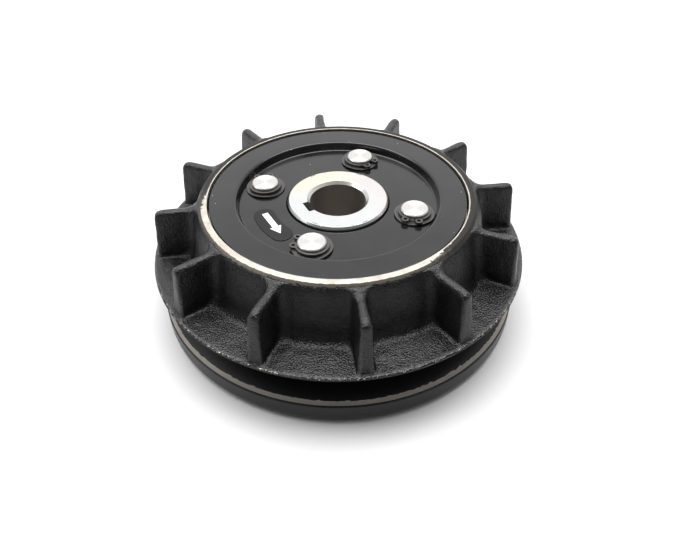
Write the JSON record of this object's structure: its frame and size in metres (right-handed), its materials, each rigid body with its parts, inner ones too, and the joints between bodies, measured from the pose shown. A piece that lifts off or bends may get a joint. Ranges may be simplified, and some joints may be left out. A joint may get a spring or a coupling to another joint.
{
  "type": "centrifugal clutch drum",
  "caption": "Engine flywheel-type centrifugal clutch: a keyed hub with pivoted shoes inside a belt drum with cast cooling blades.",
  "frame": {"origin": "on the shaft axis, in the plane of the rear cover's foot", "axes": "+Z along the shaft axis from the rear cover to the pin side; +X away from the keyway, which is on the -X side of the bore"},
  "size_m": [0.1692, 0.1692, 0.056],
  "materials": {
    "cast_black": "semi-gloss black paint over a grainy casting, bare machined rim ring and pulley land",
    "sheet_black": "smooth glossy black paint on pressed sheet steel",
    "bright_steel": "bright turned steel with fine turning marks",
    "dark_steel": "phosphated spring steel, satin black",
    "bearing_steel": "ground and polished bearing steel",
    "cage_brass": "pressed brass",
    "seal_rubber": "matt black moulded rubber",
    "weight_iron": "raw cast iron",
    "lining_brown": "woven friction lining",
    "label_black": "flat black sticker with a plain white direction arrow"
  },
  "bodies": {
    "hub": {"hub": "bright_steel", "bearing_inner_ring": "bearing_steel", "shaft_retaining_ring": "dark_steel", "cover_plate": "sheet_black", "direction_label": "label_black", "pin_a": "bright_steel", "wave_washer_a": "dark_steel", "pin_clip_a": "dark_steel", "return_spring_a": "bright_steel", "pin_b": "bright_steel", "wave_washer_b": "dark_steel", "pin_clip_b": "dark_steel", "return_spring_b": "bright_steel", "pin_c": "bright_steel", "wave_washer_c": "dark_steel", "pin_clip_c": "dark_steel", "return_spring_c": "bright_steel", "pin_d": "bright_steel", "wave_washer_d": "dark_steel", "pin_clip_d": "dark_steel", "return_spring_d": "bright_steel"},
    "drum": {"drum": "cast_black", "rear_cover": "sheet_black", "bearing_outer_ring": "bearing_steel", "bearing_seal_rear": "seal_rubber", "bearing_seal_front": "seal_rubber", "housing_retaining_ring": "dark_steel", "cover_screw_1": "dark_steel", "cover_screw_2": "dark_steel", "cover_screw_3": "dark_steel", "cover_screw_4": "dark_steel", "cover_screw_5": "dark_steel", "cover_screw_6": "dark_steel"},
    "ball_set": {"ball_cage": "cage_brass", "ball_1": "bearing_steel", "ball_2": "bearing_steel", "ball_3": "bearing_steel", "ball_4": "bearing_steel", "ball_5": "bearing_steel", "ball_6": "bearing_steel", "ball_7": "bearing_steel", "ball_8": "bearing_steel", "ball_9": "bearing_steel"},
    "shoe_a": {"weight_a": "weight_iron", "lining_a": "lining_brown"},
    "shoe_b": {"weight_b": "weight_iron", "lining_b": "lining_brown"},
    "shoe_c": {"weight_c": "weight_iron", "lining_c": "lining_brown"},
    "shoe_d": {"weight_d": "weight_iron", "lining_d": "lining_brown"}
  },
  "joints": [
    {"name": "drum_spin", "type": "hinge", "parent": "hub", "child": "drum", "pos_m": [0, 0, 0.0193], "axis": [0, 0, 1], "continuous": true},
    {"name": "ball_set_spin", "type": "hinge", "parent": "hub", "child": "ball_set", "pos_m": [0, 0, 0.0193], "axis": [0, 0, 1], "continuous": true},
    {"name": "shoe_a_swing", "type": "hinge", "parent": "hub", "child": "shoe_a", "pos_m": [0.02468, 0.02468, 0.0418], "axis": [0, 0, -1], "range_deg": [0, 1.2], "stiffness_Nm_per_rad": 3, "springref_deg": -5.73},
    {"name": "shoe_b_swing", "type": "hinge", "parent": "hub", "child": "shoe_b", "pos_m": [-0.02468, 0.02468, 0.0418], "axis": [0, 0, -1], "range_deg": [0, 1.2], "stiffness_Nm_per_rad": 3, "springref_deg": -5.73},
    {"name": "shoe_c_swing", "type": "hinge", "parent": "hub", "child": "shoe_c", "pos_m": [-0.02468, -0.02468, 0.0418], "axis": [0, 0, -1], "range_deg": [0, 1.2], "stiffness_Nm_per_rad": 3, "springref_deg": -5.73},
    {"name": "shoe_d_swing", "type": "hinge", "parent": "hub", "child": "shoe_d", "pos_m": [0.02468, -0.02468, 0.0418], "axis": [0, 0, -1], "range_deg": [0, 1.2], "stiffness_Nm_per_rad": 3, "springref_deg": -5.73}
  ],
  "couplings": [
    {"joint": "ball_set_spin", "follows": "drum_spin", "ratio": 0.5735},
    {"joint": "shoe_b_swing", "follows": "shoe_a_swing", "ratio": 1},
    {"joint": "shoe_c_swing", "follows": "shoe_a_swing", "ratio": 1},
    {"joint": "shoe_d_swing", "follows": "shoe_a_swing", "ratio": 1}
  ]
}
